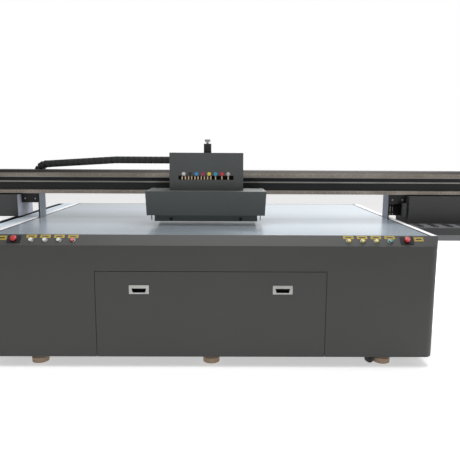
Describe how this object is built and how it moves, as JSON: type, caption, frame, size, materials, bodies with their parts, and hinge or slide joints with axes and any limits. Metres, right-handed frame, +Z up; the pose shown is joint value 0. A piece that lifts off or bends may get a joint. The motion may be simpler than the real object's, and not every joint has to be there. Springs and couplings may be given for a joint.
{
  "type": "flatbed uv printer",
  "caption": "Large flatbed UV printer: cabinet with vacuum table, travelling gantry, print carriage that lifts, cable chain, drop-down door, push buttons and levelling feet.",
  "frame": {"origin": "on the floor under the middle of the cabinet", "axes": "+X to the operator's right along the beam, +Y from the operator to the back, +Z up"},
  "size_m": [4.5, 2.0825, 1.487],
  "materials": {
    "frame_steel": "powder coat",
    "grey_paint": "fine textured powder coat, satin",
    "cover_paint": "fine textured powder coat, satin",
    "table_aluminium": "hard anodised, satin",
    "rail_steel": "ground",
    "motor_black": "satin",
    "light_paint": "satin",
    "cast_grey": "cast and painted",
    "switch_black": "moulded",
    "foot_rubber": "moulded",
    "beam_aluminium": "natural anodised",
    "track_black": "epoxy covered magnets",
    "leg_black": "satin",
    "block_steel": "ground",
    "tank_plastic": "blow moulded",
    "chain_nylon": "moulded nylon",
    "head_black": "moulded",
    "lamp_body": "anodised",
    "bright_steel": "ground",
    "pull_zinc": "satin plated",
    "button_red": "moulded",
    "button_green": "moulded",
    "button_pearl": "moulded",
    "button_amber": "moulded",
    "caster_steel": "satin",
    "wheel_nylon": "moulded nylon",
    "lever_tan": "moulded"
  },
  "bodies": {
    "base": {"base_frame": "frame_steel", "front_cover": "grey_paint", "side_cover_left": "grey_paint", "side_cover_right": "grey_paint", "rear_cover": "grey_paint", "vacuum_table": "table_aluminium", "y_rails": "rail_steel", "y_drives": "motor_black", "electrics_cabinet": "light_paint", "vacuum_blowers": "cast_grey", "switch_plates": "switch_black", "levelling_feet": "foot_rubber", "y_chain_tray": "grey_paint"},
    "gantry": {"beam": "beam_aluminium", "beam_rails": "rail_steel", "magnet_track": "track_black", "gantry_legs": "leg_black", "y_bearing_blocks": "block_steel", "end_box_left": "grey_paint", "end_box_right": "grey_paint", "ink_tanks": "tank_plastic", "chain_trough": "leg_black", "cable_chain": "chain_nylon"},
    "carriage": {"slider_plate": "leg_black", "z_motor": "motor_black"},
    "head": {"upper_cover": "cover_paint", "lower_cover": "cover_paint", "head_plate": "leg_black", "print_heads": "head_black", "uv_lamps": "lamp_body", "valve_block": "switch_black"},
    "lift_screw": {"lift_screw": "bright_steel"},
    "y_screw_left": {"y_screw_left": "bright_steel"},
    "y_screw_right": {"y_screw_right": "bright_steel"},
    "door": {"door_panel": "grey_paint", "door_pulls": "pull_zinc"},
    "button_vacuum_on": {"button_vacuum_on": "button_pearl"},
    "button_vacuum_off": {"button_vacuum_off": "button_pearl"},
    "button_lamp_on": {"button_lamp_on": "button_pearl"},
    "button_power_off": {"button_power_off": "button_red"},
    "button_forward": {"button_forward": "button_amber"},
    "button_back": {"button_back": "button_amber"},
    "button_origin": {"button_origin": "button_amber"},
    "button_start": {"button_start": "button_green"},
    "estop_left": {"estop_left": "button_red"},
    "estop_right": {"estop_right": "button_red"},
    "caster_arm_front_left": {"caster_arm_front_left": "caster_steel"},
    "caster_arm_front_right": {"caster_arm_front_right": "caster_steel"},
    "caster_wheel_front_left": {"caster_wheel_front_left": "wheel_nylon"},
    "caster_wheel_front_right": {"caster_wheel_front_right": "wheel_nylon"},
    "caster_wheel_rear_left": {"caster_wheel_rear_left": "wheel_nylon"},
    "caster_wheel_rear_right": {"caster_wheel_rear_right": "wheel_nylon"},
    "valve_lever_white": {"valve_lever_white": "lever_tan"},
    "valve_lever_black": {"valve_lever_black": "lever_tan"},
    "valve_lever_cyan": {"valve_lever_cyan": "lever_tan"},
    "valve_lever_magenta": {"valve_lever_magenta": "lever_tan"},
    "valve_lever_yellow": {"valve_lever_yellow": "lever_tan"},
    "valve_lever_light_cyan": {"valve_lever_light_cyan": "lever_tan"},
    "valve_lever_red": {"valve_lever_red": "lever_tan"},
    "valve_lever_varnish": {"valve_lever_varnish": "lever_tan"}
  },
  "joints": [
    {"name": "gantry_travel", "type": "slide", "parent": "base", "child": "gantry", "axis": [0, 1, 0], "range_m": [-0.45, 0.85]},
    {"name": "carriage_travel", "type": "slide", "parent": "gantry", "child": "carriage", "axis": [1, 0, 0], "range_m": [-1.6, 1.85], "deforming": ["cable_chain"]},
    {"name": "head_lift", "type": "slide", "parent": "carriage", "child": "head", "axis": [0, 0, 1], "range_m": [-0.025, 0.08]},
    {"name": "lift_screw_turn", "type": "hinge", "parent": "carriage", "child": "lift_screw", "pos_m": [-0.05, -0.193, 1.2], "axis": [0, 0, 1], "continuous": true},
    {"name": "y_screw_left_turn", "type": "hinge", "parent": "base", "child": "y_screw_left", "pos_m": [-1.25, 0, 0.745], "axis": [0, 1, 0], "continuous": true},
    {"name": "y_screw_right_turn", "type": "hinge", "parent": "base", "child": "y_screw_right", "pos_m": [1.25, 0, 0.745], "axis": [0, 1, 0], "continuous": true},
    {"name": "door_open", "type": "hinge", "parent": "base", "child": "door", "pos_m": [0, -1.026, 0.088], "axis": [1, 0, 0], "range_deg": [0, 90]},
    {"name": "press_vacuum_on", "type": "slide", "parent": "base", "child": "button_vacuum_on", "axis": [0, 0.7071, -0.7071], "range_m": [0, 0.0035], "stiffness_N_per_m": 400, "springref_m": -0.003},
    {"name": "press_vacuum_off", "type": "slide", "parent": "base", "child": "button_vacuum_off", "axis": [0, 0.7071, -0.7071], "range_m": [0, 0.0035], "stiffness_N_per_m": 400, "springref_m": -0.003},
    {"name": "press_lamp_on", "type": "slide", "parent": "base", "child": "button_lamp_on", "axis": [0, 0.7071, -0.7071], "range_m": [0, 0.0035], "stiffness_N_per_m": 400, "springref_m": -0.003},
    {"name": "press_power_off", "type": "slide", "parent": "base", "child": "button_power_off", "axis": [0, 0.7071, -0.7071], "range_m": [0, 0.0035], "stiffness_N_per_m": 400, "springref_m": -0.003},
    {"name": "press_forward", "type": "slide", "parent": "base", "child": "button_forward", "axis": [0, 0.7071, -0.7071], "range_m": [0, 0.0035], "stiffness_N_per_m": 400, "springref_m": -0.003},
    {"name": "press_back", "type": "slide", "parent": "base", "child": "button_back", "axis": [0, 0.7071, -0.7071], "range_m": [0, 0.0035], "stiffness_N_per_m": 400, "springref_m": -0.003},
    {"name": "press_origin", "type": "slide", "parent": "base", "child": "button_origin", "axis": [0, 0.7071, -0.7071], "range_m": [0, 0.0035], "stiffness_N_per_m": 400, "springref_m": -0.003},
    {"name": "press_start", "type": "slide", "parent": "base", "child": "button_start", "axis": [0, 0.7071, -0.7071], "range_m": [0, 0.0035], "stiffness_N_per_m": 400, "springref_m": -0.003},
    {"name": "press_estop_left", "type": "slide", "parent": "base", "child": "estop_left", "axis": [0, 0.7071, -0.7071], "range_m": [0, 0.004], "stiffness_N_per_m": 900, "springref_m": -0.003},
    {"name": "press_estop_right", "type": "slide", "parent": "base", "child": "estop_right", "axis": [0, 0.7071, -0.7071], "range_m": [0, 0.004], "stiffness_N_per_m": 900, "springref_m": -0.003},
    {"name": "caster_swivel_front_left", "type": "hinge", "parent": "base", "child": "caster_arm_front_left", "pos_m": [-1.148, -0.92, 0.1], "axis": [0, 0, 1], "continuous": true},
    {"name": "caster_swivel_front_right", "type": "hinge", "parent": "base", "child": "caster_arm_front_right", "pos_m": [1.148, -0.92, 0.1], "axis": [0, 0, 1], "continuous": true},
    {"name": "caster_wheel_turn_front_left", "type": "hinge", "parent": "caster_arm_front_left", "child": "caster_wheel_front_left", "pos_m": [-1.1034, -0.83612, 0.036], "axis": [-0.8829, 0.4695, 0], "continuous": true},
    {"name": "caster_wheel_turn_front_right", "type": "hinge", "parent": "caster_arm_front_right", "child": "caster_wheel_front_right", "pos_m": [1.05873, -0.95249, 0.036], "axis": [0.342, -0.9397, 0], "continuous": true},
    {"name": "caster_wheel_turn_rear_left", "type": "hinge", "parent": "base", "child": "caster_wheel_rear_left", "pos_m": [-1.053, 0.92, 0.036], "axis": [0, 1, 0], "continuous": true},
    {"name": "caster_wheel_turn_rear_right", "type": "hinge", "parent": "base", "child": "caster_wheel_rear_right", "pos_m": [1.053, 0.92, 0.036], "axis": [0, -1, 0], "continuous": true},
    {"name": "valve_white", "type": "hinge", "parent": "head", "child": "valve_lever_white", "pos_m": [-0.053, -0.424, 1.2045], "axis": [1, 0, 0], "range_deg": [-20, 20]},
    {"name": "valve_black", "type": "hinge", "parent": "head", "child": "valve_lever_black", "pos_m": [-0.053, -0.424, 1.2045], "axis": [1, 0, 0], "range_deg": [-20, 20]},
    {"name": "valve_cyan", "type": "hinge", "parent": "head", "child": "valve_lever_cyan", "pos_m": [-0.053, -0.424, 1.2045], "axis": [1, 0, 0], "range_deg": [-20, 20]},
    {"name": "valve_magenta", "type": "hinge", "parent": "head", "child": "valve_lever_magenta", "pos_m": [-0.053, -0.424, 1.2045], "axis": [1, 0, 0], "range_deg": [-20, 20]},
    {"name": "valve_yellow", "type": "hinge", "parent": "head", "child": "valve_lever_yellow", "pos_m": [-0.053, -0.424, 1.2045], "axis": [1, 0, 0], "range_deg": [-20, 20]},
    {"name": "valve_light_cyan", "type": "hinge", "parent": "head", "child": "valve_lever_light_cyan", "pos_m": [-0.053, -0.424, 1.2045], "axis": [1, 0, 0], "range_deg": [-20, 20]},
    {"name": "valve_red", "type": "hinge", "parent": "head", "child": "valve_lever_red", "pos_m": [-0.053, -0.424, 1.2045], "axis": [1, 0, 0], "range_deg": [-20, 20]},
    {"name": "valve_varnish", "type": "hinge", "parent": "head", "child": "valve_lever_varnish", "pos_m": [-0.053, -0.424, 1.2045], "axis": [1, 0, 0], "range_deg": [-20, 20]}
  ],
  "couplings": [
    {"joint": "lift_screw_turn", "follows": "head_lift", "rad_per_m": 628.32},
    {"joint": "y_screw_left_turn", "follows": "gantry_travel", "rad_per_m": 314.16},
    {"joint": "y_screw_right_turn", "follows": "gantry_travel", "rad_per_m": 314.16}
  ]
}
